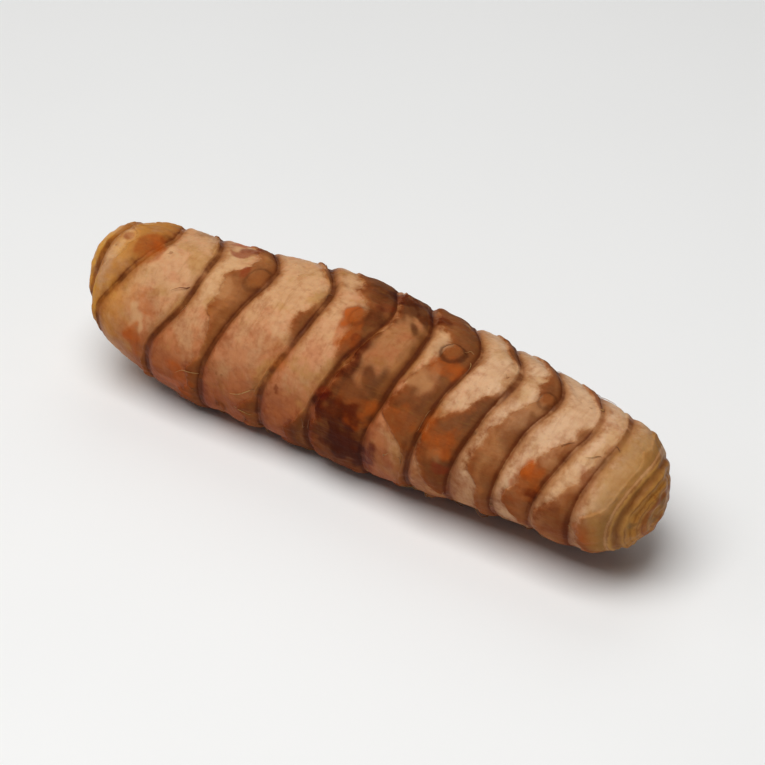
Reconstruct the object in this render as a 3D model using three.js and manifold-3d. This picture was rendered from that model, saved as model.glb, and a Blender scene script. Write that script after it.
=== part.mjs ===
// A finger of fresh turmeric lying on its side. It grew as one piece, so it is one solid.
//
// Millimetres, +Z up. The finger runs along X: its growing tip is at -X, and at +X is the
// round scar where it was broken from the mother root. It is ringed by nodes. At each node a
// dry scale leaf once sat; what is left of it covers part of the length towards the tip.
// Along is a distance from the tip, in millimetres. Angle goes round the finger: 0 is the
// top, 90 the front (-Y), 180 the underside.

import * as THREE from "three";
import { mergeVertices } from "three/addons/utils/BufferGeometryUtils.js";
import Module from "manifold-3d";

// Driving dimensions
const LENGTH = 89;
const THICKNESS = 22.3;
const FATTEST_AT = 44.5; // along
const TAPER = { tip: 0.25, scar: 0.29 }; // loss of radius half a length from the fattest place
const BEND = 3; // how far the ends curve to the front
const ARCH = 0.15; // how far the ends curve up
const TIP = { reach: 12.8, bluntness: 2.3, shift: 20, rise: 4.4, back: 0.9 };
const SCAR = { reach: 7.8, bluntness: 2.8 };
const REST_FLAT = 0.7; // depth of the flat spot that it lies on

// Relief of one internode: the groove at its line, the lip past the line before it, and so on
const GROOVE = { depth: 0.32, reach: 0.9, behind: 0.55 };
const LIP = { height: 0.13, reach: 0.8, at: 1.1 };
const FURROW = 0.25; // the bottom of a groove reaches this far on both sides of its line
const BELLY = 0.24;
const SCALE = { thickness: 0.2, edge: 0.35 };
const FULL_GAP = 5; // internodes shorter than this have a lower relief
const LONG_GAP = 8; // and longer ones have more rows of faces

// The broken face: rings at a share of its radius, from the collar of skin to the low middle
const SCAR_RINGS = [
  { at: 0.86, width: 0.04, height: 0.18 },
  { at: 0.79, width: 0.04, height: -0.24 },
  { at: 0.71, width: 0.04, height: 0.14 },
  { at: 0.63, width: 0.04, height: -0.16 },
  { at: 0, width: 0.35, height: -0.35 },
];

// Faces of the skin
const COLUMNS = 46;
const TIP_ROWS = [0.985, 0.91, 0.7]; // share of the first node's distance, back from it
const SCAR_ROWS = [0.9, 0.86, 0.825, 0.79, 0.75, 0.71, 0.67, 0.63, 0.57, 0.42, 0.22];

const SKIN_COLOUR = "#c79f7d";

// Nodes, from the tip. at: where the ring crosses the front's upper side, at 45 degrees.
// ring: how marked it is.
// lean: how far the ring lies from there at 0, 45, 90 degrees and so on round the finger.
// cover: share of the internode that the dry scale still covers, at 0, 30, 60 degrees and so on.
const NODES = [
  {
    at: 3,
    ring: 0.5,
    lean: [0.8, 0, -0.6, -0.8, -0.8, -0.6, -0.2, 0.4],
    cover: [0.3],
  },
  {
    at: 8.4,
    ring: 0.8,
    lean: [2.8, 0, -3.4, -4, -3.6, -3.2, -2.2, 0.2],
    cover: [0.7, 0.4, 0.75, 0.5, 0.4, 0.3, 0.5, 0.7, 0.6, 0.5, 0.6, 0.6],
  },
  {
    at: 18.2,
    ring: 1.0,
    lean: [0.1, 0, -3.9, -5.2, -5, -4.8, -5, -4.2],
    cover: [0.08, 0.06, 0.06, 0.06, 0.12, 0.3, 0.35, 0.3, 0.2, 0.3, 0.25, 0.12],
  },
  {
    at: 26,
    ring: 0.9,
    lean: [1.6, 0, -2.8, -4.6, -5.2, -5.6, -5.6, -4.4],
    cover: [0.42, 0.62, 0.22, 0.18, 0.35, 0.5, 0.4, 0.3, 0.5, 0.6, 0.45, 0.35],
  },
  {
    at: 36,
    ring: 1.1,
    lean: [0.3, 0, -3.4, -5.2, -5.8, -6.2, -6.6, -5.6],
    cover: [0.06, 0.17, 0.06, 0.1, 0.3, 0.25, 0.2, 0.35, 0.3, 0.2, 0.15, 0.2],
  },
  {
    at: 43.6,
    ring: 0.8,
    lean: [2.1, 0, -3.3, -4.9, -5.6, -6, -5.4, -2.6],
    cover: [0.42, 0.3, 0.08, 0.12, 0.45, 0.6, 0.5, 0.4, 0.6, 0.7, 0.6, 0.6],
  },
  {
    at: 51.9,
    ring: 1.2,
    lean: [-0.3, 0, -2.6, -4.2, -5.2, -6.2, -6.8, -5.2],
    cover: [0.9, 0.92, 0.94, 0.94, 0.94, 0.8, 0.6, 0.7, 0.5, 0.4, 0.6, 0.9],
  },
  {
    at: 58.5,
    ring: 1.0,
    lean: [1.1, 0, -2.1, -3.8, -5, -6.2, -6.6, -4.8],
    cover: [0.57, 0.68, 0.92, 0.12, 0.2, 0.5, 0.7, 0.6, 0.4, 0.5, 0.7, 0.94],
  },
  {
    at: 65,
    ring: 0.9,
    lean: [1, 0, -2.6, -4.2, -5.4, -6.4, -6.6, -4.8],
    cover: [0.08, 0.22, 0.85, 0.75, 0.08, 0.2, 0.4, 0.5, 0.6, 0.5, 0.45, 0.35],
  },
  {
    at: 70.7,
    ring: 0.9,
    lean: [1.7, 0, -1.7, -3, -4.2, -5.4, -5.8, -4],
    cover: [0.42, 0.5, 0.75, 0.42, 0.3, 0.5, 0.4, 0.3, 0.4, 0.6, 0.6, 0.35],
  },
  {
    at: 77.3,
    ring: 0.7,
    lean: [1.2, 0, -2.9, -4.4, -5.2, -5.8, -5.4, -3.4],
    cover: [0.08, 0.25, 0.5, 0.65, 0.12, 0.3, 0.5, 0.5, 0.3, 0.4, 0.5, 0.3],
  },
  {
    at: 81.8,
    ring: 0.5,
    lean: [0.7, 0, -1.6, -3, -4, -4.6, -4.2, -2.4],
    cover: [0.1, 0.25, 0.3, 0.85, 0.7, 0.4, 0.3, 0.5, 0.5, 0.3, 0.3, 0.15],
  },
  {
    at: 86.2,
    ring: 0.7,
    lean: [0.7, 0, -1.6, -2.6, -3.2, -3.4, -2.8, -1.4],
    cover: [0.25, 0.12, 0.2, 0.75, 0.6, 0.4, 0.5, 0.3, 0.3, 0.5, 0.4, 0.3],
  },
];

// Buds sit in the angle of the old scales, on one side of the finger and then on the other.
// They are oval, and longer round the finger than along it.
const BUD = { sides: 12, bury: 1.2 };
const BUDS = [
  { along: 24.9, angle: 12, radius: 1.4, stretch: 1.35, height: 0.3 },
  { along: 32.6, angle: 171, radius: 1.2, stretch: 1.25, height: 0.4 },
  { along: 40.6, angle: 10, radius: 1.05, stretch: 1.7, height: 0.25 },
  { along: 48.6, angle: 197, radius: 1.3, stretch: 1.3, height: 0.45 },
  { along: 55.7, angle: 8, radius: 1.5, stretch: 1.05, height: 0.5 },
  { along: 62.4, angle: 176, radius: 1.1, stretch: 1.4, height: 0.35 },
  { along: 69.6, angle: 9, radius: 1.0, stretch: 1.3, height: 0.3 },
  { along: 75.2, angle: 190, radius: 1.0, stretch: 1.2, height: 0.35 },
];
// Scars of the thin feeding roots, which grew mostly below.
const ROOT_SCAR = { sides: 8, bury: 0.9 };
const ROOT_SCARS = [
  { along: 21.6, angle: 148, radius: 0.7, stretch: 1.1, height: 0.35 },
  { along: 29.6, angle: 122, radius: 0.75, stretch: 1.15, height: 0.3 },
  { along: 41.2, angle: 236, radius: 0.95, stretch: 1.0, height: 0.4 },
  { along: 53.6, angle: 212, radius: 0.75, stretch: 1.2, height: 0.3 },
  { along: 61.2, angle: 140, radius: 0.85, stretch: 1.1, height: 0.35 },
  { along: 67.6, angle: 262, radius: 0.9, stretch: 1.0, height: 0.35 },
  { along: 79.6, angle: 158, radius: 0.7, stretch: 1.2, height: 0.3 },
];

const radians = THREE.MathUtils.degToRad;
const smooth = THREE.MathUtils.smoothstep;
const clamp = THREE.MathUtils.clamp;
const lerp = THREE.MathUtils.lerp;

// A number from 0 to 1 that differs for each node and trait, and is the same each time.
function chance(node, trait) {
  const scattered = Math.sin(12.9898 * (node + 1) + 78.233 * trait) * 43758.5453;
  return scattered - Math.floor(scattered);
}

function phase(node, trait) {
  return 2 * Math.PI * chance(node, trait);
}

// The node whose internode holds this place, and the share of it that lies back from its line.
function internode(along) {
  const found = NODES.findIndex((n) => along < n.at);
  const node = found < 0 ? NODES.length : found;
  const from = node === 0 ? 0 : NODES[node - 1].at;
  const to = found < 0 ? LENGTH : NODES[node].at;
  return { node, gap: to - from, back: (to - along) / (to - from) };
}

// A smooth curve round the finger through values that are spaced evenly from angle 0.
function around(values, angle) {
  const count = values.length;
  const turn = (((angle / (2 * Math.PI)) % 1) + 1) * count;
  const start = Math.floor(turn);
  const t = turn - start;
  const [a, b, c, d] = [-1, 0, 1, 2].map((step) => values[(start + step) % count]);
  const bend = 2 * a - 5 * b + 4 * c - d + t * (3 * (b - c) + d - a);
  return b + (t / 2) * (c - a + t * bend);
}

// Share of an internode that the rest of the scale covers, with its torn edge.
function coverage(node, angle) {
  const even = around(NODES[node].cover, angle);
  const torn =
    0.05 * Math.sin(9 * angle + phase(node, 2)) +
    0.04 * Math.sin(14 * angle + phase(node, 3));
  return clamp(even + torn * Math.min(1, even / 0.3), 0.06, 0.94);
}

// How far a place has moved along the finger, with the rings on both sides of it.
function lean(along, angle) {
  const { node, back } = internode(along);
  const here = around(NODES[Math.min(node, NODES.length - 1)].lean, angle);
  const before = node === 0 ? here : around(NODES[node - 1].lean, angle);
  return lerp(here, before, clamp(back, 0, 1));
}

// Radius of the smooth finger, and the direction in which its surface faces.
function profile(along) {
  const off = (along - FATTEST_AT) / (LENGTH / 2);
  const full = (THICKNESS / 2) * (1 - (off < 0 ? TAPER.tip : TAPER.scar) * off * off);
  const towardsTip = Math.max(0, 1 - along / TIP.reach);
  const towardsScar = Math.max(0, 1 - (LENGTH - along) / SCAR.reach);
  const end = towardsTip > 0 ? TIP : SCAR;
  const into = Math.min(1, Math.max(towardsTip, towardsScar));
  const share = (1 - into ** end.bluntness) ** (1 / end.bluntness);
  const facing = new THREE.Vector2(
    (into ** (end.bluntness - 1) / end.reach) * (towardsTip > 0 ? -1 : 1),
    share ** (end.bluntness - 1) / full,
  ).normalize();
  return { full, radius: full * share, facing };
}

// Where along the scar's rounded end the radius has shrunk to this share.
function alongAtScar(share) {
  const into = (1 - share ** SCAR.bluntness) ** (1 / SCAR.bluntness);
  return LENGTH - SCAR.reach * (1 - into);
}

// How marked a node's ring is at this angle. Rings fade away in places.
function strength(node, angle) {
  const faded = 0.25 * Math.sin(angle + phase(node, 4)) + 0.15 * Math.sin(2 * angle + phase(node, 7));
  return NODES[node].ring * (0.8 + faded);
}

function bell(distance, width) {
  return Math.exp(-((distance / width) ** 2));
}

// Height of the surface over the smooth finger.
function relief(along, angle) {
  const { node, gap, back } = internode(along);
  const toLine = back * gap;
  const pastLine = gap - toLine;
  const lip = LIP.height * bell(pastLine - LIP.at, LIP.reach);
  const farSide = -GROOVE.depth * bell(pastLine, GROOVE.behind);
  const behind = node === 0 ? 0 : strength(node - 1, angle) * (lip + farSide);
  if (node === NODES.length) return scarRelief(along, behind);
  const size = Math.min(1, gap / FULL_GAP);
  const groove = -GROOVE.depth * strength(node, angle) * bell(toLine, GROOVE.reach);
  const uneven = 0.5 * Math.sin(angle + phase(node, 5)) + 0.4 * Math.sin(2 * angle + phase(node, 6));
  const belly = BELLY * (1 + uneven) * Math.sin(Math.PI * back);
  const edge = coverage(node, angle) * gap - toLine;
  const scale = SCALE.thickness * smooth(edge, -SCALE.edge / 2, SCALE.edge / 2);
  return (size * (groove + behind + belly) + scale) * Math.min(1, along / 2);
}

function scarRelief(along, behindLine) {
  const { full, radius } = profile(along);
  const share = radius / full;
  const rings = SCAR_RINGS.map(({ at, width, height }) => height * bell(share - at, width));
  return rings.reduce((sum, height) => sum + height, share * behindLine);
}

// Broad unevenness of the cross-section, as a share of the radius.
function lumps(along, angle) {
  return (
    0.03 * Math.cos(2 * angle + 0.5 + 0.035 * along) +
    0.022 * Math.sin(3 * angle + 1.1 - 0.05 * along) +
    0.014 * Math.sin(4 * angle + 0.11 * along) +
    0.016 * Math.sin(0.21 * along + angle + 0.7)
  );
}

// A point of the finger before it is set down: along, angle and height over the smooth finger.
function place(along, angle, height) {
  const { full, radius, facing } = profile(along);
  const across = (radius + height * facing.y) * (1 + lumps(along, angle));
  const x = along + height * facing.x + lean(along, angle) * (radius / full);
  const off = (x - LENGTH / 2) / (LENGTH / 2);
  const nearTip = Math.max(0, 1 - x / TIP.shift) ** 2;
  return new THREE.Vector3(
    x - LENGTH / 2,
    -BEND * off * off + TIP.back * nearTip - across * Math.sin(angle),
    ARCH * off * off + TIP.rise * nearTip + across * Math.cos(angle),
  );
}

// The rows of the skin, from the pole at the tip to the middle of the scar. Each gives a place
// along for an angle, so that rows follow the node rings and the torn edges of the scales.
function skinRows() {
  const rows = [() => 0];
  NODES.forEach(({ at }, node) => {
    const gap = at - (node === 0 ? 0 : NODES[node - 1].at);
    const halfEdge = SCALE.edge / 2 / gap;
    const lip = 1 - LIP.at / gap;
    const least = (1.3 * FURROW) / gap + halfEdge;
    const most = 1 - (1.1 * LIP.at) / gap - halfEdge;
    const edge = (angle) => clamp(coverage(node, angle), least, most);
    const bare = (share) => (angle) => lerp(edge(angle) + halfEdge, lip, share);
    const covered = (share) => (angle) => lerp(FURROW / gap, edge(angle) - halfEdge, share);
    const backs = node === 0 ? TIP_ROWS.map((back) => () => back) : [() => 1 - FURROW / gap, () => lip];
    if (gap > LONG_GAP) backs.push(bare(0.66));
    if (gap > FULL_GAP) backs.push(bare(0.4));
    backs.push(bare(0));
    backs.push(covered(1));
    if (gap > FULL_GAP) backs.push(covered(0.4));
    backs.push(covered(0));
    backs.forEach((back) => rows.push((angle) => at - back(angle) * gap));
  });
  SCAR_ROWS.forEach((share) => rows.push(() => alongAtScar(share)));
  rows.push(() => LENGTH);
  return rows;
}

// A lathe blank with one profile point for each row, whose points are then put in their place.
function skin() {
  const rows = skinRows();
  const last = rows.length - 1;
  const blank = rows.map((row, n) => new THREE.Vector2(n === 0 || n === last ? 0 : 1, n));
  const geometry = new THREE.LatheGeometry(blank, COLUMNS);
  const points = geometry.getAttribute("position");
  for (let n = 0; n < points.count; n++) {
    const angle = (2 * Math.PI * (Math.floor(n / rows.length) % COLUMNS)) / COLUMNS;
    const along = rows[n % rows.length](angle);
    const point = place(along, angle, relief(along, angle));
    points.setXYZ(n, point.x, point.y, point.z);
  }
  return geometry;
}

// A low oval button with a dimple, sunk into the skin.
function button({ sides, bury }, { along, angle, radius, stretch, height }) {
  const outline = [
    [0, -bury],
    [radius * 0.8, -bury],
    [radius, 0],
    [radius * 0.85, height * 0.7],
    [radius * 0.6, height],
    [radius * 0.3, height * 0.62],
    [0, height * 0.8],
  ].map(([r, y]) => new THREE.Vector2(r, y));
  const skinHeight = relief(along, radians(angle));
  const foot = place(along, radians(angle), skinHeight);
  const above = place(along, radians(angle), skinHeight + 1);
  const stand = new THREE.Quaternion().setFromUnitVectors(
    new THREE.Vector3(0, 1, 0),
    above.sub(foot).normalize(),
  );
  const upright = new THREE.LatheGeometry(outline, sides).scale(1, 1, stretch);
  return upright.applyQuaternion(stand).translate(foot.x, foot.y, foot.z);
}

function buttons() {
  const buds = BUDS.map((bud) => button(BUD, bud));
  const scars = ROOT_SCARS.map((scar) => button(ROOT_SCAR, scar));
  return [...buds, ...scars];
}

const wasm = await Module();
wasm.setup();

function solid(geometry) {
  const bare = geometry.clone().deleteAttribute("normal").deleteAttribute("uv");
  const merged = mergeVertices(bare, 1e-4);
  return new wasm.Manifold(
    new wasm.Mesh({
      numProp: 3,
      vertProperties: merged.getAttribute("position").array,
      triVerts: new Uint32Array(merged.index.array),
    }),
  );
}

function geometryOf(body) {
  const mesh = body.getMesh();
  const geometry = new THREE.BufferGeometry();
  geometry.setAttribute("position", new THREE.BufferAttribute(mesh.vertProperties, 3));
  geometry.setIndex(new THREE.BufferAttribute(mesh.triVerts, 1));
  return geometry;
}

// Everything under the plane that the finger rests on.
function underside(lowest) {
  const depth = 10;
  const slab = new THREE.BoxGeometry(2 * LENGTH, 2 * LENGTH, depth);
  return slab.translate(0, 0, lowest + REST_FLAT - depth / 2);
}

const skinGeometry = skin();
skinGeometry.computeBoundingBox();
const whole = buttons().reduce((body, geometry) => body.add(solid(geometry)), solid(skinGeometry));
const rested = whole.subtract(solid(underside(skinGeometry.boundingBox.min.z)));

// The origin is under the middle of the finger, on the surface that it rests on.
const geometry = geometryOf(rested);
geometry.computeBoundingBox();
const { min, max } = geometry.boundingBox;
geometry.translate(-(min.x + max.x) / 2, -(min.y + max.y) / 2, -min.z);
geometry.computeVertexNormals();

const rhizome = new THREE.Mesh(
  geometry,
  new THREE.MeshStandardMaterial({ color: SKIN_COLOUR, roughness: 0.62, metalness: 0 }),
);
rhizome.name = "turmeric_rhizome";

const finger = new THREE.Group();
finger.add(rhizome);

export default finger;
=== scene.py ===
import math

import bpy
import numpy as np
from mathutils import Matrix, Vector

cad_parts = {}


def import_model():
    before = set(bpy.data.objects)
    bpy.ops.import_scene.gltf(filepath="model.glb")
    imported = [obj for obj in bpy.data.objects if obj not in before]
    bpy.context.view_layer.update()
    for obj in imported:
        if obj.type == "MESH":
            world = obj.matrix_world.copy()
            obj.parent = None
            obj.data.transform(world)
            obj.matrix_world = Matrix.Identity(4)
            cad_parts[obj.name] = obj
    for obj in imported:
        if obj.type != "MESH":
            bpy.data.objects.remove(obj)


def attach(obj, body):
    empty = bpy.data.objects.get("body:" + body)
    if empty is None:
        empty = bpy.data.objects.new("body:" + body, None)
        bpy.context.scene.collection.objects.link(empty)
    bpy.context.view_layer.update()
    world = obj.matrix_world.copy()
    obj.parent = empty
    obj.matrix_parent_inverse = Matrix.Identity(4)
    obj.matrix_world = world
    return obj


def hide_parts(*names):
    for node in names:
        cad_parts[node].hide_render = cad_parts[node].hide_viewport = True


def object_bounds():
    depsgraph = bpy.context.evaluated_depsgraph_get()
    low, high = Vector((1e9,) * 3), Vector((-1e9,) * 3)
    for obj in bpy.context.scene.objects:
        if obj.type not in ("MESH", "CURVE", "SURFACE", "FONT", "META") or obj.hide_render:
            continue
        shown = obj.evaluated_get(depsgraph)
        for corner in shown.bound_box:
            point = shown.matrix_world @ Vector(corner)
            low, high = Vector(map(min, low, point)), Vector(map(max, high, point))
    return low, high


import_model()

# The looks of a finger of fresh turmeric: its skin, the dry rests of its scales, its buds and
# scars, and the fibres on it.
#
# Lengths are in millimetres until the last step, which gives metres. Along is a distance from
# the growing tip. Angle goes round the finger: 0 is the top, 90 the front (-Y), 180 the
# underside. The finger is ringed by nodes. From each node's line, what is left of a dry scale
# lies over the skin towards the tip, as far as its torn edge.

CAD_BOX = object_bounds()
MM = 0.001

# The finger
LENGTH = 89.0
THICKNESS = 22.3
FATTEST_AT = 44.5
TAPER = {"tip": 0.25, "scar": 0.29}
BEND = 3.0
ARCH = 0.15
TIP = {"reach": 12.8, "bluntness": 2.3, "shift": 20.0, "rise": 4.4, "back": 0.9}
SCAR = {"reach": 7.8, "bluntness": 2.8}

# Relief of one internode
GROOVE = {"depth": 0.32, "reach": 0.9, "behind": 0.55}
LIP = {"height": 0.13, "reach": 0.8, "at": 1.1}
FURROW = 0.25
BELLY = 0.24
SCALE = {"thickness": 0.2, "edge": 0.35}
CURL = {"height": 0.09, "reach": 0.3}
FULL_GAP = 5.0

# Unevenness of the skin: height, size and seed of its waves
DENTS = (0.085, 8.0, 41)
SMALL_DENTS = (0.04, 3.0, 42)
GRAIN = (0.016, 1.1, 43)
WRINKLES = (0.035, 0.95, 44)
VEINS = (0.035, 1.5, 45)
BROKEN_FLESH = (0.07, 1.9, 46)

# The broken face: place as a share of its radius, width and height of each ring
SCAR_RINGS = [
    (0.86, 0.04, 0.18),
    (0.79, 0.04, -0.24),
    (0.71, 0.04, 0.14),
    (0.63, 0.04, -0.16),
    (0.0, 0.35, -0.35),
]

# Nodes, from the tip: where the ring crosses the front's upper side, how marked it is, how far
# it lies from there at 0, 45, 90 degrees and so on, the share of the internode that is covered
# at 0, 30, 60 degrees and so on, and the colour of the scale: how dark it is and how rusty.
NODES = [
    (3.0, 0.5, [0.8, 0, -0.6, -0.8, -0.8, -0.6, -0.2, 0.4], [0.3] * 12, 0.1, 0.5),
    (8.4, 0.8, [2.8, 0, -3.4, -4, -3.6, -3.2, -2.2, 0.2],
     [0.7, 0.4, 0.75, 0.5, 0.4, 0.3, 0.5, 0.7, 0.6, 0.5, 0.6, 0.6], 0.2, 0.8),
    (18.2, 1.0, [0.1, 0, -3.9, -5.2, -5, -4.8, -5, -4.2],
     [0.08, 0.06, 0.06, 0.06, 0.12, 0.3, 0.35, 0.3, 0.2, 0.3, 0.25, 0.12], 0.45, 0.3),
    (26.0, 0.9, [1.6, 0, -2.8, -4.6, -5.2, -5.6, -5.6, -4.4],
     [0.42, 0.62, 0.22, 0.18, 0.35, 0.5, 0.4, 0.3, 0.5, 0.6, 0.45, 0.35], 0.4, 0.45),
    (36.0, 1.1, [0.3, 0, -3.4, -5.2, -5.8, -6.2, -6.6, -5.6],
     [0.06, 0.17, 0.06, 0.1, 0.3, 0.25, 0.2, 0.35, 0.3, 0.2, 0.15, 0.2], 0.4, 0.3),
    (43.6, 0.8, [2.1, 0, -3.3, -4.9, -5.6, -6, -5.4, -2.6],
     [0.42, 0.3, 0.08, 0.12, 0.45, 0.6, 0.5, 0.4, 0.6, 0.7, 0.6, 0.6], 0.7, 0.3),
    (51.9, 1.2, [-0.3, 0, -2.6, -4.2, -5.2, -6.2, -6.8, -5.2],
     [0.9, 0.92, 0.94, 0.94, 0.94, 0.8, 0.6, 0.7, 0.5, 0.4, 0.6, 0.9], 0.95, 0.35),
    (58.5, 1.0, [1.1, 0, -2.1, -3.8, -5, -6.2, -6.6, -4.8],
     [0.57, 0.68, 0.92, 0.12, 0.2, 0.5, 0.7, 0.6, 0.4, 0.5, 0.7, 0.94], 0.7, 0.5),
    (65.0, 0.9, [1, 0, -2.6, -4.2, -5.4, -6.4, -6.6, -4.8],
     [0.08, 0.22, 0.85, 0.75, 0.08, 0.2, 0.4, 0.5, 0.6, 0.5, 0.45, 0.35], 0.75, 0.45),
    (70.7, 0.9, [1.7, 0, -1.7, -3, -4.2, -5.4, -5.8, -4],
     [0.42, 0.5, 0.75, 0.42, 0.3, 0.5, 0.4, 0.3, 0.4, 0.6, 0.6, 0.35], 0.45, 0.4),
    (77.3, 0.7, [1.2, 0, -2.9, -4.4, -5.2, -5.8, -5.4, -3.4],
     [0.08, 0.25, 0.5, 0.65, 0.12, 0.3, 0.5, 0.5, 0.3, 0.4, 0.5, 0.3], 0.45, 0.7),
    (81.8, 0.5, [0.7, 0, -1.6, -3, -4, -4.6, -4.2, -2.4],
     [0.1, 0.25, 0.3, 0.85, 0.7, 0.4, 0.3, 0.5, 0.5, 0.3, 0.3, 0.15], 0.45, 0.5),
    (86.2, 0.7, [0.7, 0, -1.6, -2.6, -3.2, -3.4, -2.8, -1.4],
     [0.25, 0.12, 0.2, 0.75, 0.6, 0.4, 0.5, 0.3, 0.3, 0.5, 0.4, 0.3], 0.4, 0.4),
]
AT, RING, LEAN, COVER, DARK, RUST = (np.array(column) for column in zip(*NODES))

# Buds and the scars of thin roots: along, angle, radius, stretch round the finger, height
BUDS = [
    (24.9, 12, 1.4, 1.35, 0.3),
    (32.6, 171, 1.2, 1.25, 0.4),
    (40.6, 10, 1.05, 1.7, 0.25),
    (48.6, 197, 1.3, 1.3, 0.45),
    (55.7, 8, 1.5, 1.05, 0.5),
    (62.4, 176, 1.1, 1.4, 0.35),
    (69.6, 9, 1.0, 1.3, 0.3),
    (75.2, 190, 1.0, 1.2, 0.35),
]
ROOT_SCARS = [
    (21.6, 148, 0.7, 1.1, 0.35),
    (29.6, 122, 0.75, 1.15, 0.3),
    (41.2, 236, 0.95, 1.0, 0.4),
    (53.6, 212, 0.75, 1.2, 0.3),
    (61.2, 140, 0.85, 1.1, 0.35),
    (67.6, 262, 0.9, 1.0, 0.35),
    (79.6, 158, 0.7, 1.2, 0.3),
]

# Patches of colour: place along, angle, half length and half width in mm, strength
RED = [
    (6.0, 17, 0.9, 1.0, 0.6), (24.0, 10, 0.9, 1.1, 0.8), (20.6, -17, 1.6, 1.7, 0.8),
    (43.4, -8, 1.6, 1.2, 0.4), (61.5, 87, 1.1, 1.0, 0.6), (42.6, 70, 1.5, 1.1, 0.5),
]
ORANGES = [
    (10.0, 15, 2.0, 2.4, 0.7), (13.6, 56, 1.5, 2.0, 0.5), (11.6, 96, 1.2, 2.6, 0.8),
    (41.0, 10, 1.3, 1.9, 1.0), (42.4, 26, 1.6, 2.4, 0.5), (18.6, -30, 1.4, 2.2, 0.7),
    (47.8, 72, 2.6, 2.6, 0.5), (60.2, 66, 2.6, 2.4, 0.5), (73.6, 69, 1.9, 2.6, 0.7),
    (33.5, 62, 2.2, 2.4, 0.3), (54.4, 66, 2.0, 1.6, 0.5), (82.6, 96, 1.5, 2.0, 0.5),
    (57.0, 21, 2.6, 1.5, 0.5), (18.5, 108, 3.0, 2.5, 0.6),
]
PALES = [
    (6.3, 34, 1.5, 1.5, 1.0), (20.6, 14, 1.7, 3.6, 0.9), (12.0, 78, 1.0, 2.0, 0.9),
    (54.9, 38, 2.0, 1.2, 1.0), (53.4, 10, 0.9, 2.8, 0.7), (70.8, 18, 1.3, 0.9, 0.9),
    (60.6, 78, 0.9, 0.9, 0.6), (78.4, 57, 2.0, 2.6, 0.8), (84.0, 70, 1.4, 3.4, 0.7),
    (22.6, 30, 2.0, 1.4, 0.9),
]
# Dark patches: partly dark stains and a slit, partly painted shadow, as along the top edge.
DARK_STAINS_AND_SHADOWS = [
    (10.4, 1, 0.8, 1.2, 0.5), (45.2, 80, 3.4, 2.6, 0.9), (50.4, -18, 2.5, 2.4, 0.7),
    (74.4, 78, 1.1, 0.9, 0.8), (77.6, 78, 2.4, 0.9, 0.5), (55.8, 84, 0.7, 1.4, 0.5),
    (44.7, 42, 1.5, 3.6, 0.7), (43.9, 6, 1.9, 2.6, 0.6), (40.5, -22, 3.0, 2.6, 0.5),
    (14.5, -28, 4.0, 1.8, 0.4), (22.5, -22, 3.0, 2.0, 0.5), (35.2, 81, 0.3, 0.9, 0.8),
    (44.0, -28, 4.5, 1.8, 0.8), (27.8, 21, 0.8, 0.8, 0.5), (46.8, 102, 4.0, 3.0, 0.9),
]

# Places where a scale is worn so thin that the skin shows, in the same way
THINS = [
    (48.6, 20, 2.9, 4.8, 0.9), (55.5, 30, 2.0, 1.0, 0.6), (68.4, 30, 1.6, 2.4, 0.5),
    (75.0, 40, 1.5, 2.0, 0.5),
]

# Each kind of patch: the name it is recorded under, its patches, and the seed of its ragged edges
STAINS = [
    ("red", RED, 51),
    ("orange", ORANGES, 52),
    ("pale", PALES, 53),
    ("shade", DARK_STAINS_AND_SHADOWS, 54),
    ("thin", THINS, 55),
]

# How finely the skin is made
COLUMNS = 216
TIP_ROWS = 28
SCAR_ROWS = 34
ROWS_PER_MM = 3.4
EDGE_ROWS = 4
SPARE_ROWS = 8
EDGE_ROOM = 0.3
JOINED_WITHIN = 0.001

# How far a node's line colours the skin, and the distance noted where there is no line
LINE_FADE = {"slow": 2.4, "quick": 0.6}
NO_LINE = 20.0

# Thin roots that have dried to hairs
HAIRS = 70
HAIR_RINGS = 9
HAIR_SIDES = 5


def smooth(value, low, high):
    share = np.clip((value - low) / (high - low), 0, 1)
    return share * share * (3 - 2 * share)


def bell(value, width):
    return np.exp(-((value / width) ** 2))


def chance(node, trait):
    """A number from 0 to 1 that differs for each node and trait, and is the same each time."""
    scattered = np.sin(12.9898 * (node + 1) + 78.233 * trait) * 43758.5453
    return scattered - np.floor(scattered)


def phase(node, trait):
    return 2 * np.pi * chance(node, trait)


def internode(along):
    """The node of the internode that holds a place, its length, and the share left to its line."""
    node = np.searchsorted(AT, along, side="right")
    ends = np.concatenate([[0.0], AT, [LENGTH]])
    gap = ends[node + 1] - ends[node]
    return node, gap, (ends[node + 1] - along) / gap


def around(table, node, angle):
    """A smooth curve round the finger through each node's evenly spaced values, from angle 0."""
    count = table.shape[1]
    turn = angle / (2 * np.pi) % 1 * count
    start = np.floor(turn).astype(int)
    t = turn - start
    a, b, c, d = (table[node, (start + step) % count] for step in (-1, 0, 1, 2))
    bend = 2 * a - 5 * b + 4 * c - d + t * (3 * (b - c) + d - a)
    return b + t / 2 * (c - a + t * bend)


def coverage(node, angle):
    """Share of an internode that the rest of its scale covers."""
    even = around(COVER, np.minimum(node, len(AT) - 1), angle)
    torn = 0.05 * np.sin(9 * angle + phase(node, 2)) + 0.04 * np.sin(14 * angle + phase(node, 3))
    return np.clip(even + torn * np.minimum(1, even / 0.3), 0.06, 0.94)


def torn_edge(node, gap, angle):
    """How far the rest of the scale reaches from the node's line, with its small teeth."""
    ragged = 0.4 + 1.0 * chance(node, 11) * (0.6 + 0.4 * np.sin(2 * angle + phase(node, 12)))
    teeth = (
        0.13 * np.sin(23 * angle + phase(node, 13))
        + 0.09 * np.sin(37 * angle + phase(node, 14))
        + 0.06 * np.sin(59 * angle + phase(node, 15))
    )
    reach = coverage(node, angle) * gap + ragged * teeth * np.minimum(1, gap / FULL_GAP)
    spare = FURROW + EDGE_ROOM + SCALE["edge"] / 2
    return np.clip(reach, spare, gap - spare)


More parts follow.
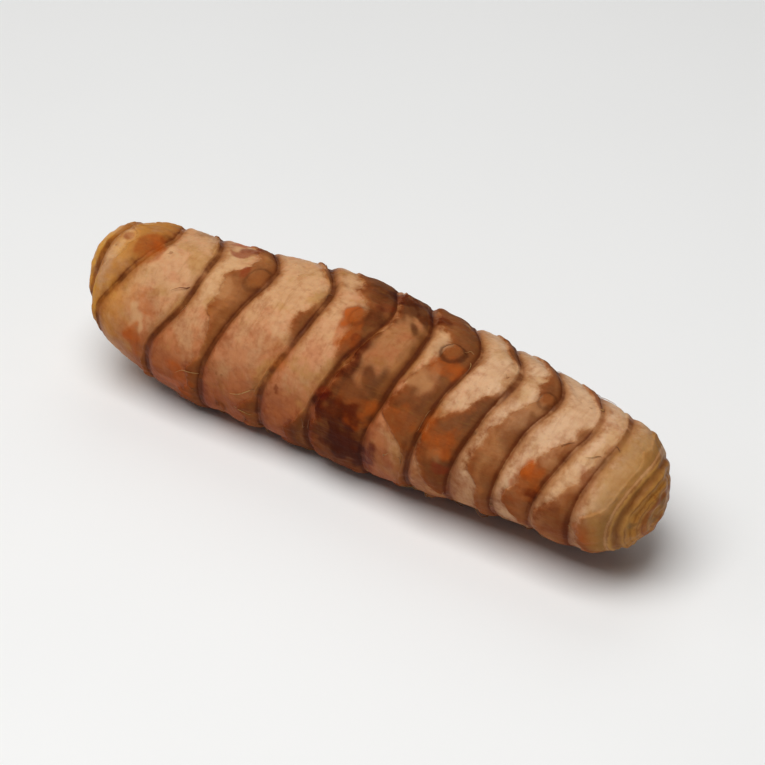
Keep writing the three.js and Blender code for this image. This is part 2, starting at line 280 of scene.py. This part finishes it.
def lean(along, angle):
    """How far a place has moved along the finger, with the rings on both sides of it."""
    node, _, back = internode(along)
    here = around(LEAN, np.minimum(node, len(AT) - 1), angle)
    before = np.where(node == 0, here, around(LEAN, np.maximum(node, 1) - 1, angle))
    return here + (before - here) * np.clip(back, 0, 1)


def profile(along):
    """Full radius, radius, and the two parts of the direction in which the smooth finger faces."""
    off = (along - FATTEST_AT) / (LENGTH / 2)
    full = THICKNESS / 2 * (1 - np.where(off < 0, TAPER["tip"], TAPER["scar"]) * off * off)
    to_tip = np.maximum(0, 1 - along / TIP["reach"])
    to_scar = np.maximum(0, 1 - (LENGTH - along) / SCAR["reach"])
    blunt = np.where(to_tip > 0, TIP["bluntness"], SCAR["bluntness"])
    reach = np.where(to_tip > 0, -TIP["reach"], SCAR["reach"])
    into = np.clip(np.maximum(to_tip, to_scar), 0, 1)
    share = (1 - into**blunt) ** (1 / blunt)
    out_x = into ** (blunt - 1) / reach
    out_r = share ** (blunt - 1) / full
    size = np.hypot(out_x, out_r)
    return full, full * share, out_x / size, out_r / size


def along_at(end, share):
    into = (1 - share ** end["bluntness"]) ** (1 / end["bluntness"])
    return end["reach"] * (1 - into)


def strength(node, angle):
    """How marked a node's ring is at this angle."""
    faded = 0.25 * np.sin(angle + phase(node, 4)) + 0.15 * np.sin(2 * angle + phase(node, 7))
    return RING[np.clip(node, 0, len(AT) - 1)] * (0.8 + faded)


def waves(where, size, seed, count=18):
    """Smooth noise of about unit strength: random plane waves, each about one size long."""
    draw = np.random.default_rng(seed)
    total = 0
    for _ in range(count):
        heading = draw.normal(size=3)
        heading *= 2 * np.pi / size / np.linalg.norm(heading) * draw.uniform(0.6, 1.4)
        total = total + np.sin(where @ heading + draw.uniform(0, 2 * np.pi))
    return total * math.sqrt(2 / count)


def uneven(where, kind, count=18):
    height, size, seed = kind
    return height * waves(where, size, seed, count)


def straightened(along, angle):
    """The place on the finger as if it were a straight rod, for patterns that run round it."""
    radius = profile(along)[1]
    return np.stack([along, radius * np.sin(angle), radius * np.cos(angle)], -1)


def away_from(spots, along, angle):
    """Distance to the nearest spot, where 1 is its rim, and that spot's height."""
    full = profile(along)[0]
    nearest = np.full(along.shape, 99.0)
    heights = np.zeros(along.shape)
    for at, side, radius, stretch, height in spots:
        turn = (angle - math.radians(side) + np.pi) % (2 * np.pi) - np.pi
        distance = np.hypot((along - at) / radius, turn * full / (radius * stretch))
        heights = np.where(distance < nearest, height, heights)
        nearest = np.minimum(distance, nearest)
    return nearest, heights


def stain(patches, along, angle, seed):
    """How strongly patches of colour show at each place, from 0 to 1."""
    full, radius, _, _ = profile(along)
    across = along + lean(along, angle) * radius / full
    wobble = 0.22 * waves(straightened(along, angle), 2.4, seed)
    strongest = np.zeros_like(along)
    for at, side, length, width, depth in patches:
        turn = (angle - math.radians(side) + np.pi) % (2 * np.pi) - np.pi
        distance = np.hypot((across - at) / length, turn * full / width) + wobble
        strongest = np.maximum(strongest, depth * smooth(1.35 - distance, 0, 0.7))
    return strongest


def button(distance, height):
    """A low round button with a dimple: its height at a distance, where 1 is its rim."""
    steps = [0, 0.15, 0.32, 0.6, 0.85, 1, 1.12]
    return height * np.interp(distance, steps, [0.8, 0.78, 0.6, 1, 0.72, 0.05, 0])


def covered(along, angle):
    """Millimetres inside the torn edge of the scale; less than 0 on bare skin."""
    node, gap, back = internode(along)
    return np.where(node == len(AT), -1, torn_edge(node, gap, angle) - back * gap)


def relief(along, angle):
    """Height of the skin over the smooth finger."""
    node, gap, back = internode(along)
    where = straightened(along, angle)
    to_line = back * gap
    past_line = (1 - back) * gap
    lip = LIP["height"] * bell(past_line - LIP["at"], LIP["reach"])
    lip = lip - GROOVE["depth"] * bell(past_line, GROOVE["behind"])
    lip = np.where(node == 0, 0, strength(node - 1, angle)) * lip
    groove = -GROOVE["depth"] * strength(node, angle) * bell(to_line, GROOVE["reach"])
    fuller = 0.5 * np.sin(angle + phase(node, 5)) + 0.4 * np.sin(2 * angle + phase(node, 6))
    belly = BELLY * (1 + fuller) * np.sin(np.pi * back)
    inside = covered(along, angle)
    scale = SCALE["thickness"] * smooth(inside, -SCALE["edge"] / 2, SCALE["edge"] / 2)
    wide = smooth(coverage(node, angle) * gap, 0.9, 2.2)
    lifted = smooth(waves(where, 5.0, 33), 0.1, 1.1)
    curl = CURL["height"] * wide * bell(inside - CURL["reach"], CURL["reach"]) * lifted
    body = np.minimum(1, gap / FULL_GAP) * (groove + lip + belly) + scale + curl
    body = body * np.minimum(1, along / 2)
    full, radius, _, _ = profile(along)
    share = radius / full
    face = share * lip + sum(height * bell(share - at, width) for at, width, height in SCAR_RINGS)
    return np.where(node == len(AT), face, body) + detail(along, angle, where, inside, share)


def detail(along, angle, where, inside, share):
    """Dents, wrinkles, the fibres of the scales, the buttons, and the rough flesh of the scar."""
    node, gap, back = internode(along)
    round_it = smooth(share, 0.25, 0.7)
    dents = uneven(where, DENTS) + uneven(where, SMALL_DENTS)
    grain = uneven(where, GRAIN, 30)
    squeezed = where * np.array([1.0, 0.16, 0.16])
    rings = uneven(squeezed, WRINKLES) * bell(back * gap, 2.2)
    drawn_out = where * np.array([0.12, 1.0, 1.0])
    veins = uneven(drawn_out, VEINS, 24) * smooth(inside, 0, 0.5)
    buttons = button(*away_from(BUDS + ROOT_SCARS, along, angle))
    face = uneven(where, BROKEN_FLESH) * smooth(1 - share, 0.1, 0.3) * (along > LENGTH / 2)
    return dents + grain + (rings + veins) * round_it + buttons + face


def lumps(along, angle):
    return (
        0.03 * np.cos(2 * angle + 0.5 + 0.035 * along)
        + 0.022 * np.sin(3 * angle + 1.1 - 0.05 * along)
        + 0.014 * np.sin(4 * angle + 0.11 * along)
        + 0.016 * np.sin(0.21 * along + angle + 0.7)
    )


def place(along, angle, height):
    """A point of the finger, in millimetres, before it is set down."""
    full, radius, out_x, out_r = profile(along)
    across = (radius + height * out_r) * (1 + lumps(along, angle))
    x = along + height * out_x + lean(along, angle) * radius / full
    off = (x - LENGTH / 2) / (LENGTH / 2)
    near_tip = np.maximum(0, 1 - x / TIP["shift"]) ** 2
    y = -BEND * off * off + TIP["back"] * near_tip - across * np.sin(angle)
    z = ARCH * off * off + TIP["rise"] * near_tip + across * np.cos(angle)
    return np.stack([x - LENGTH / 2, y, z], -1)


def skin_rows(angle):
    """Rows from the tip's pole to the middle of the scar. They follow the lines and the torn edges."""
    tip_share = profile(AT[0] - FURROW)[1] / profile(AT[0] - FURROW)[0]
    rows = [along_at(TIP, share) + 0 * angle for share in np.linspace(0, tip_share, TIP_ROWS)]
    for node in range(1, len(AT)):
        gap = AT[node] - AT[node - 1]
        edge = torn_edge(node, gap, angle)
        marks = [gap - FURROW, edge + SCALE["edge"] / 2, edge - SCALE["edge"] / 2, FURROW]
        count = round(ROWS_PER_MM * gap) + SPARE_ROWS - EDGE_ROWS
        bare = int(np.clip(round(count * (1 - COVER[node].mean())), 4, count - 4))
        steps = [bare, EDGE_ROWS, count - bare]
        for start, end, number in zip(marks, marks[1:], steps):
            for part in range(number):
                rows.append(AT[node] - (start + (end - start) * part / number))
        rows.append(AT[node] - FURROW + 0 * angle)
    scar_share = profile(AT[-1] + FURROW)[1] / profile(AT[-1] + FURROW)[0]
    for share in np.linspace(scar_share, 0, SCAR_ROWS):
        rows.append(LENGTH - along_at(SCAR, share) + 0 * angle)
    return np.array(rows)


def set_down(points):
    """Moves the made points to where the CAD model lies, and gives metres."""
    return (points + SET_DOWN) * MM


def select_only(piece):
    bpy.ops.object.select_all(action="DESELECT")
    piece.select_set(True)
    bpy.context.view_layer.objects.active = piece


def blank(name, rows, columns):
    """A flat grid of that many rows and columns of points, which is then given its shape."""
    bpy.ops.mesh.primitive_grid_add(x_subdivisions=columns - 1, y_subdivisions=rows - 1, size=1)
    piece = bpy.context.object
    piece.name = name
    piece.data.name = name
    return piece


def shape(piece, points):
    piece.data.vertices.foreach_set("co", np.asarray(points, np.float32).ravel())
    piece.data.update()


def close_up(piece):
    """Joins points that lie on each other, so that seams and poles are closed, and turns faces out."""
    select_only(piece)
    bpy.ops.object.mode_set(mode="EDIT")
    bpy.ops.mesh.select_all(action="SELECT")
    bpy.ops.mesh.remove_doubles(threshold=JOINED_WITHIN * MM)
    bpy.ops.mesh.normals_make_consistent(inside=False)
    bpy.ops.object.mode_set(mode="OBJECT")
    bpy.ops.object.shade_smooth()


def record(piece, name, values):
    layer = piece.data.attributes.new(name, "FLOAT", "POINT")
    layer.data.foreach_set("value", np.asarray(values, np.float32).ravel())


def fading(slowly, quickly):
    """1 on a node's line, and less away from it: slowly on one side and quickly on the other."""
    slow = 1 - slowly / LINE_FADE["slow"]
    quick = 1 - quickly / LINE_FADE["quick"]
    return np.maximum(0, np.maximum(slow, quick))


def skin():
    angle = np.linspace(0, 2 * np.pi, COLUMNS + 1)
    along = skin_rows(angle)
    angle = np.broadcast_to(angle, along.shape)
    piece = blank("turmeric_skin", *along.shape)
    points = place(along, angle, relief(along, angle))
    shape(piece, in_box(set_down(points)))
    node, gap, back = internode(along)
    where = straightened(along, angle)
    full, radius, _, _ = profile(along)
    last = np.minimum(node, len(AT) - 1)
    record(piece, "covered", covered(along, angle))
    record(piece, "wide", smooth(coverage(last, angle) * gap, 0.5, 1.6))
    to_line = np.where(node == len(AT), NO_LINE, back * gap)
    past_line = np.where(node == 0, NO_LINE, (1 - back) * gap)
    record(piece, "before_line", fading(to_line, past_line))
    record(piece, "after_line", fading(past_line, to_line))
    record(piece, "near_line", np.minimum(to_line, 1.2 * past_line))
    record(piece, "mark", strength(np.where(past_line < to_line, node - 1, node), angle))
    record(piece, "share", np.where(along > AT[-1], radius / full, 1))
    rim, height = away_from(BUDS + ROOT_SCARS, along, angle)
    record(piece, "rim", rim)
    record(piece, "rim_mark", smooth(height, 0.12, 0.5))
    record(piece, "dark", DARK[last])
    record(piece, "rust", RUST[last])
    record(piece, "from_tip", along + lean(along, angle) * radius / full)
    # How far a place lies towards the underside; the skin uses it for painted shade and a pinker tone
    # below.
    record(piece, "under", 0.5 - 0.5 * np.cos(angle - math.radians(-20)))
    for name, patches, seed in STAINS:
        record(piece, name, stain(patches, along, angle, seed))
    close_up(piece)
    return piece


def tube(centres, radii, sides):
    """Points of rings round a line of centres."""
    along = np.gradient(centres, axis=0)
    along /= np.linalg.norm(along, axis=1, keepdims=True)
    across = np.cross(along, [0.31, 0.52, 0.79])
    across /= np.linalg.norm(across, axis=1, keepdims=True)
    turn = np.linspace(0, 2 * np.pi, sides + 1)[:, None]
    ring = across[:, None] * np.cos(turn) + np.cross(along, across)[:, None] * np.sin(turn)
    return centres[:, None] + ring * radii[:, None, None]


def hair(draw):
    """A dried hair that springs from a node's ring or the underside and lies close to the skin."""
    part = np.linspace(0, 1, HAIR_RINGS)
    if draw.random() < 0.6:
        start = draw.choice(AT[2:-1]) - draw.uniform(0.1, 0.7)
        side = draw.uniform(0, 2 * np.pi)
    else:
        start = draw.uniform(14, 80)
        side = np.radians(draw.normal(160, 40))
    run = draw.normal(0, 1.6)
    turn = draw.normal(0, 0.22)
    along = start + run * part + 0.25 * np.sin(4 * part + draw.uniform(0, 6))
    along = along - 0.25 * np.sin(draw.uniform(0, 6))
    angle = side + turn * part + 0.03 * np.sin(5 * part + draw.uniform(0, 6))
    rise = draw.uniform(0.08, 0.5) * np.sin(np.pi * part * draw.uniform(0.55, 0.95))
    centres = place(along, angle, relief(along, angle) + rise - 0.05)
    radii = draw.uniform(0.035, 0.07) * np.sqrt(np.clip(1 - part**2, 0, 1))
    radii[0] = 0
    return tube(centres, radii, HAIR_SIDES)


def joined(pieces, name):
    select_only(pieces[0])
    for piece in pieces:
        piece.select_set(True)
    bpy.ops.object.join()
    pieces[0].name = name
    pieces[0].data.name = name
    return pieces[0]


def hairs():
    draw = np.random.default_rng(71)
    pieces = []
    for _ in range(HAIRS):
        points = hair(draw)
        piece = blank("hair", *points.shape[:2])
        shape(piece, in_box(set_down(points)))
        pieces.append(piece)
    whole = joined(pieces, "root_hairs")
    close_up(whole)
    return whole


def in_box(points):
    low, high = (np.array(corner) for corner in CAD_BOX)
    return np.clip(points, low, high)


def rest_place():
    """What has to be added to the made points so that they lie where the CAD model lies."""
    angle = np.linspace(0, 2 * np.pi, COLUMNS + 1)
    along = skin_rows(angle)
    points = place(along, angle, relief(along, np.broadcast_to(angle, along.shape)))
    low, high = points.min((0, 1)), points.max((0, 1))
    cad_low, cad_high = (np.array(corner) / MM for corner in CAD_BOX)
    move = (cad_low + cad_high) / 2 - (low + high) / 2
    move[2] = cad_high[2] - high[2]
    return move


class Wire:
    """A node's output. Arithmetic on it adds Math nodes."""

    def __init__(self, look, socket):
        self.look = look
        self.socket = socket

    def __add__(self, other):
        return self.look.maths("ADD", self, other)

    def __radd__(self, other):
        return self.look.maths("ADD", other, self)

    def __sub__(self, other):
        return self.look.maths("SUBTRACT", self, other)

    def __rsub__(self, other):
        return self.look.maths("SUBTRACT", other, self)

    def __mul__(self, other):
        return self.look.maths("MULTIPLY", self, other)

    def __rmul__(self, other):
        return self.look.maths("MULTIPLY", other, self)


class Look:
    """A material, written as expressions."""

    def __init__(self, name):
        self.material = bpy.data.materials.new(name)
        self.material.use_nodes = True
        self.tree = self.material.node_tree
        self.tree.nodes.clear()
        self.object = self.add("TexCoord", output="Object")

    def add(self, kind, settings=None, values=None, output=0):
        node = self.tree.nodes.new("ShaderNode" + kind)
        for key, value in (settings or {}).items():
            setattr(node, key, value)
        for key, value in (values or {}).items():
            if isinstance(value, Wire):
                self.tree.links.new(value.socket, node.inputs[key])
            else:
                node.inputs[key].default_value = value
        return None if output is None else Wire(self, node.outputs[output])

    def maths(self, operation, first, second):
        return self.add("Math", {"operation": operation}, {0: first, 1: second})

    def larger(self, first, second):
        return self.maths("MAXIMUM", first, second)

    def step(self, value, low, high):
        """0 below low and 1 above high, or the other way round, with a soft rise between."""
        ends = {"Value": value, "From Min": low, "From Max": high}
        return self.add("MapRange", {"interpolation_type": "SMOOTHSTEP"}, ends)

    def recorded(self, name):
        return self.add("Attribute", {"attribute_name": name}, output="Fac")

    def noise(self, size, detail=3.0, roughness=0.5, stretch=(1, 1, 1), distortion=0.0):
        """Noise whose patches are about size millimetres, from 0 to 1, mostly near 0.5."""
        where = self.object
        if stretch != (1, 1, 1):
            scale = tuple(1 / s for s in stretch)
            where = self.add("Mapping", values={"Vector": self.object, "Scale": scale})
        values = {"Vector": where, "Scale": 1 / (size * MM), "Detail": detail}
        values.update({"Roughness": roughness, "Distortion": distortion})
        return self.add("TexNoise", values=values)

    def mix(self, amount, first, second, blend="MIX"):
        """From the first colour to the second. Either is a colour or an output."""
        settings = {"data_type": "RGBA", "blend_type": blend, "clamp_factor": True}
        return self.add("Mix", settings, {0: amount, 6: first, 7: second}, output=2)

    def finish(self, values, heights):
        """The shader, with bumps given as (height in mm, output) from coarse to fine."""
        normal = None
        for height, out in heights:
            bump = {"Strength": 1.0, "Distance": height * MM, "Height": out}
            if normal is not None:
                bump["Normal"] = normal
            normal = self.add("Bump", values=bump)
        if normal is not None:
            values = {**values, "Normal": normal}
        shader = self.add("BsdfPrincipled", values=values)
        self.add("OutputMaterial", values={"Surface": shader}, output=None)
        return self.material


def colour(red, green, blue):
    """A screen colour, from 0 to 255, as the shader wants it."""
    parts = [part / 255 for part in (red, green, blue)]
    linear = [p / 12.92 if p <= 0.04045 else ((p + 0.055) / 1.055) ** 2.4 for p in parts]
    return (*linear, 1.0)


CREAM = colour(211, 168, 123)
ASH = colour(213, 178, 141)
PALE = colour(198, 138, 97)
SALMON = colour(187, 118, 75)
ROSE = colour(158, 88, 52)
GOLD = colour(208, 148, 62)
ORANGE = colour(198, 92, 18)
RED_BROWN = colour(132, 34, 8)
TAN = colour(156, 97, 48)
BROWN = colour(112, 59, 25)
RUSTY = colour(148, 71, 21)
OLIVE = colour(132, 90, 40)
KHAKI = colour(160, 116, 66)
UMBER = colour(80, 37, 13)
STRAW = colour(178, 132, 72)
BLUSH = colour(190, 142, 110)
OCHRE = colour(180, 124, 56)
AMBER = colour(206, 172, 134)
HONEY = colour(216, 176, 118)
SEPIA = colour(184, 138, 92)


def bare_skin(look, noise):
    """Pale and creamy on top, pinker and darker towards the underside, with faint rings. The cream on
    top is partly a painted highlight, the pink below is partly painted shade, and the darkening below is
    painted shade.
    """
    under = look.recorded("under")
    older = look.step(look.recorded("from_tip") + 12 * (noise["broad"] - 0.5), 50, 64)
    # The pink grows towards the underside, partly as painted shade.
    pink = 0.9 * under + 0.9 * noise["broad"] + 0.5 * noise["patch"] - 0.25 * older
    surface = look.mix(look.step(pink, 0.72, 1.3), PALE, look.mix(older, SALMON, BLUSH))
    # The cream is stronger on top, partly as a painted highlight.
    creamy = look.step(noise["blotch"] + 0.4 * noise["broad"] - 0.35 * under + 0.2 * older, 0.42, 0.74)
    surface = look.mix(0.75 * creamy, surface, look.mix(older, CREAM, ASH))
    straw = look.step(look.noise(4.3, 4, 0.6) + 0.2 * look.recorded("before_line"), 0.5, 0.7)
    surface = look.mix((0.65 - 0.25 * older) * straw, surface, STRAW)
    # The rose grows a little towards the underside, partly as painted shade.
    rosy = look.step(look.noise(3.6, 4, 0.6) + 0.25 * under, 0.55, 0.85)
    surface = look.mix(0.55 * rosy, surface, ROSE)
    surface = look.mix(0.18 * look.step(noise["fine"], 0.48, 0.72), surface, ROSE)
    surface = look.mix(0.3 * look.step(noise["ring"], 0.52, 0.74), surface, TAN)
    surface = look.mix(0.75 * look.recorded("pale"), surface, CREAM)
    # Painted shade: the underside is darkened with a honey tint, less so towards the scar end.
    underside_shade = look.step(under, 0.45, 0.9) * (1 - 0.7 * look.step(look.recorded("from_tip"), 60, 75))
    return look.mix(0.9 * underside_shade, surface, HONEY, "MULTIPLY")


def golden_cap(look, noise, surface):
    """The young tip."""
    tip = look.recorded("from_tip") + 4 * (noise["blotch"] - 0.5)
    gold = look.mix(look.step(noise["patch"], 0.5, 0.72), GOLD, CREAM)
    surface = look.mix(0.5 * look.step(tip, 13.0, 6.0), surface, gold)
    return look.mix(0.75 * look.step(tip, 6.8, 2.8), surface, gold)


def dry_scale(look, noise, surface):
    """What is left of the scales: thin brown paper with fibres and a ragged edge."""
    ragged = 1.0 * (noise["blotch"] - 0.5) + 1.3 * (noise["fine"] - 0.5) + 0.8 * (noise["fibre"] - 0.5)
    inside = look.recorded("covered") + ragged
    on_scale = look.step(inside, -0.25, 0.5) * look.recorded("wide")
    darkness = look.recorded("dark") + 1.6 * (noise["patch"] - 0.5) + 0.5 * (noise["fibre"] - 0.5)
    darkness = darkness + 0.8 * (noise["blotch"] - 0.5) + 0.3 * look.recorded("before_line")
    paper = look.mix(look.step(darkness, 0.1, 0.55), TAN, BROWN)
    paper = look.mix(look.step(darkness, 0.6, 1.1), paper, UMBER)
    rusty = look.recorded("rust") + 1.2 * (noise["broad"] - 0.5) + 0.8 * (noise["blotch"] - 0.5)
    paper = look.mix(0.6 * look.step(rusty, 0.3, 0.8), paper, RUSTY)
    paper = look.mix(0.35 * look.step(noise["fibre"], 0.5, 0.72), paper, OLIVE)
    paper = look.mix(0.5 * look.step(inside, 1.6, 0.1), paper, RUSTY)
    thick = 0.6 + 0.4 * look.step(noise["patch"] + 0.5 * look.recorded("dark"), 0.5, 0.85)
    thick = thick * (1 - 0.75 * look.recorded("pale")) * (1 - look.recorded("thin"))
    near_scale = look.step(inside, -1.0, 0.3) * look.recorded("wide")
    surface = look.mix(0.75 * near_scale, surface, AMBER, "MULTIPLY")
    surface = look.mix(0.85 * on_scale * thick, surface, paper)
    return surface, on_scale


def node_lines(look, noise, surface):
    """The nodes' lines: brown rings, marked in some places and faint in others. They are partly the
    skin's own brown and partly painted shade in and beside the furrow.
    """
    nearest = look.recorded("near_line") + 0.7 * (noise["fine"] - 0.5)
    marked = look.step(1.6 * noise["blotch"] + 0.5 * look.recorded("mark"), 0.85, 1.5)
    ragged = 1.0 * (noise["blotch"] - 0.5) + 0.4 * (noise["fine"] - 0.5)
    before = look.step(look.recorded("before_line") + ragged, 0.2, 0.9)
    # Partly painted shadow: a soft tan band on the tip side of the line.
    surface = look.mix(0.5 * marked * before, surface, TAN)
    # The line's brown, partly its own colour and partly painted shade.
    surface = look.mix(0.7 * marked * look.step(nearest, 1.2, 0.1), surface, BROWN)
    after = look.step(look.recorded("after_line") + ragged, 0.15, 0.8)
    surface = look.mix(0.8 * after, surface, AMBER, "MULTIPLY")
    # Painted shade: a sepia darkening in the furrow and an umber one at its bottom.
    surface = look.mix(0.5 * look.step(nearest, 0.9, 0.0), surface, SEPIA, "MULTIPLY")
    return look.mix(0.7 * marked * look.step(nearest, 0.5, 0.0), surface, UMBER)


def stained(look, noise, surface):
    """Rusty and red patches left by sap and soil, and dark patches that are partly stains and partly
    painted shadow.
    """
    ragged = 0.5 * (noise["fine"] - 0.5) + 0.6 * (noise["blotch"] - 0.5)
    for name, tint, amount in (("orange", RUSTY, 0.7), ("red", RED_BROWN, 0.7)):
        patch = look.recorded(name)
        surface = look.mix(amount * look.step(patch + patch * ragged, 0.12, 0.9), surface, tint)
    # The dark patches darken the colour as stains and, in part, as painted shadow.
    shade = look.recorded("shade")
    surface = look.mix(look.step(shade + shade * ragged, 0.12, 1.0), surface, SEPIA, "MULTIPLY")
    glow = look.recorded("orange") * look.step(noise["patch"], 0.42, 0.6)
    glow = look.larger(glow, look.step(look.recorded("orange") + 0.3 * ragged, 0.72, 0.95))
    return look.mix(0.7 * glow, surface, ORANGE)


def buttons_look(look, noise, surface):
    """Buds and root scars: a low rusty button, some with a dark furrow round it."""
    rim = look.recorded("rim") + 0.4 * (noise["fine"] - 0.5)
    mark = look.recorded("rim_mark")
    surface = look.mix(0.4 * look.step(rim + 0.8 * (noise["blotch"] - 0.5), 2.2, 0.9), surface, BROWN)
    surface = look.mix(0.4 * look.step(rim, 1.0, 0.4), surface, look.mix(noise["blotch"], RUSTY, TAN))
    furrow = look.step(rim, 1.3, 1.05) * look.step(rim, 0.75, 0.98)
    return look.mix(0.7 * mark * furrow, surface, UMBER)


def broken_face(look, noise, surface):
    """Where the finger was broken off: a pale collar, a brown furrow, and dried olive flesh."""
    share = look.recorded("share") + 0.08 * (noise["patch"] - 0.5) + 0.04 * (noise["fine"] - 0.5)
    flesh = look.mix(look.step(noise["blotch"], 0.36, 0.52), OLIVE, OCHRE)
    flesh = look.mix(0.6 * look.step(noise["patch"], 0.52, 0.66), flesh, RUSTY)
    flesh = look.mix(0.5 * look.step(noise["fine"], 0.52, 0.68), flesh, RUSTY)
    rings = look.step(share, 0.5, 0.44) * look.step(share, 0.34, 0.4)
    flesh = look.mix(0.6 * rings, flesh, RUSTY)
    face = look.mix(look.step(share, 0.62, 0.72), flesh, look.mix(noise["patch"], STRAW, OCHRE))
    furrow = look.step(share, 0.84, 0.8) * look.step(share, 0.7, 0.76)
    face = look.mix(0.65 * furrow, face, BROWN)
    face = look.mix(0.8 * look.step(share, 0.83, 0.88), face, look.mix(noise["blotch"], CREAM, TAN))
    fine_rings = look.step(look.maths("SINE", 75 * share, 0), 0.2, 1.0)
    face = look.mix(0.45 * fine_rings * look.step(noise["blotch"], 0.35, 0.6), face, BROWN)
    neck = look.step(look.recorded("from_tip") + 3 * (noise["blotch"] - 0.5), 81.5, 84.5)
    surface = look.mix(0.7 * neck, surface, look.mix(look.step(noise["blotch"], 0.4, 0.6), KHAKI, STRAW))
    return look.mix(look.step(share, 0.97, 0.91), surface, face)


def skin_look():
    look = Look("rhizome_skin")
    noise = {
        "broad": look.noise(14, 2),
        "patch": look.noise(5.5, 4, 0.55),
        "blotch": look.noise(2.8, 4, 0.6, distortion=0.3),
        "fine": look.noise(0.9, 4, 0.6),
        "fibre": look.noise(0.5, 4, 0.6, stretch=(8, 1, 1)),
        "ring": look.noise(0.7, 3, 0.6, stretch=(1, 7, 7)),
    }
    surface = bare_skin(look, noise)
    surface, on_scale = dry_scale(look, noise, surface)
    surface = golden_cap(look, noise, surface)
    surface = node_lines(look, noise, surface)
    surface = stained(look, noise, surface)
    surface = buttons_look(look, noise, surface)
    surface = broken_face(look, noise, surface)
    speck = look.step(look.noise(1.3, 2, 0.7), 0.7, 0.76)
    surface = look.mix(0.35 * speck, surface, BROWN)
    mottled = look.step(0.5 * noise["fine"] + noise["blotch"], 0.55, 0.95)
    surface = look.mix(0.3 * mottled, surface, AMBER, "MULTIPLY")

    roughness = 0.42 + 0.24 * on_scale + 0.2 * (noise["fine"] - 0.5)
    bumps = [
        (0.12, noise["blotch"]),
        (0.08, noise["ring"]),
        (0.10, on_scale * noise["fibre"]),
        (0.05, noise["fine"]),
        (0.015, look.noise(0.25, 3, 0.6)),
    ]
    values = {"Base Color": surface, "Roughness": roughness, "Specular IOR Level": 0.06}
    values.update({"Subsurface Weight": 0.12, "Subsurface Scale": 0.003})
    values["Subsurface Radius"] = (1.0, 0.45, 0.2)
    return look.finish(values, bumps)


def hair_look():
    look = Look("dry_root")
    amount = look.step(look.noise(3.0, 3, 0.6), 0.35, 0.65)
    surface = look.mix(amount, STRAW, BROWN)
    surface = look.mix(0.4 * look.step(look.noise(0.4, 3), 0.5, 0.7), surface, UMBER)
    return look.finish({"Base Color": surface, "Roughness": 0.75}, [(0.03, look.noise(0.3, 3))])


def floor_look():
    look = Look("pale_floor")
    shade = look.mix(look.noise(40, 2), (0.86, 0.86, 0.85, 1), (0.88, 0.88, 0.87, 1))
    return look.finish({"Base Color": shade, "Roughness": 0.7}, [])


# The camera, in metres and degrees: where it stands, how far off, and how wide a field it takes in
VIEW = {"azimuth": 35.0, "elevation": 36.0, "distance": 0.42, "width": 0.1}
SENSOR = 36.0
SKY_LIGHT = 0.11
FLOOR_SIZE = 6.0

# Lamps: name, azimuth, elevation, distance, size and power in watts
LAMPS = [
    ("key", 5, 72, 0.55, 0.4, 3.0),
    ("left", -60, 35, 0.7, 0.5, 0.3),
    ("back", 200, 50, 0.7, 0.5, 0.6),
]


def direction(azimuth, elevation):
    """From the object towards a viewer who stands there."""
    a, e = math.radians(azimuth), math.radians(elevation)
    return Vector((math.sin(a) * math.cos(e), -math.cos(a) * math.cos(e), math.sin(e)))


def aim(thing, target):
    thing.rotation_euler = (thing.location - target).to_track_quat("Z", "Y").to_euler()


def studio():
    low, high = CAD_BOX
    middle = (low + high) / 2
    away = direction(VIEW["azimuth"], VIEW["elevation"])
    bpy.ops.object.camera_add(location=middle + away * VIEW["distance"])
    camera = bpy.context.object
    aim(camera, middle)
    camera.data.sensor_width = SENSOR
    camera.data.lens = SENSOR * VIEW["distance"] / VIEW["width"]
    camera.data.clip_start = 0.01
    bpy.context.scene.camera = camera

    for name, azimuth, elevation, distance, size, power in LAMPS:
        bpy.ops.object.light_add(type="AREA", location=middle + direction(azimuth, elevation) * distance)
        lamp = bpy.context.object
        lamp.name = "lamp_" + name
        lamp.data.size = size
        lamp.data.energy = power
        aim(lamp, middle)

    world = bpy.data.worlds.new("studio")
    world.use_nodes = True
    world.node_tree.nodes["Background"].inputs["Color"].default_value = (1, 1, 1, 1)
    world.node_tree.nodes["Background"].inputs["Strength"].default_value = SKY_LIGHT
    bpy.context.scene.world = world
    bpy.context.scene.view_settings.view_transform = "Standard"

    bpy.ops.mesh.primitive_plane_add(size=FLOOR_SIZE, location=(0, 0, low.z))
    floor = bpy.context.object
    floor.name = "floor"
    floor.data.materials.append(floor_look())


bpy.ops.object.select_all(action="DESELECT")
SET_DOWN = rest_place()
studio()

rhizome = skin()
rhizome.data.materials.append(skin_look())
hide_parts("turmeric_rhizome")
dry_roots = hairs()
dry_roots.data.materials.append(hair_look())
for piece in (rhizome, dry_roots):
    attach(piece, "root")
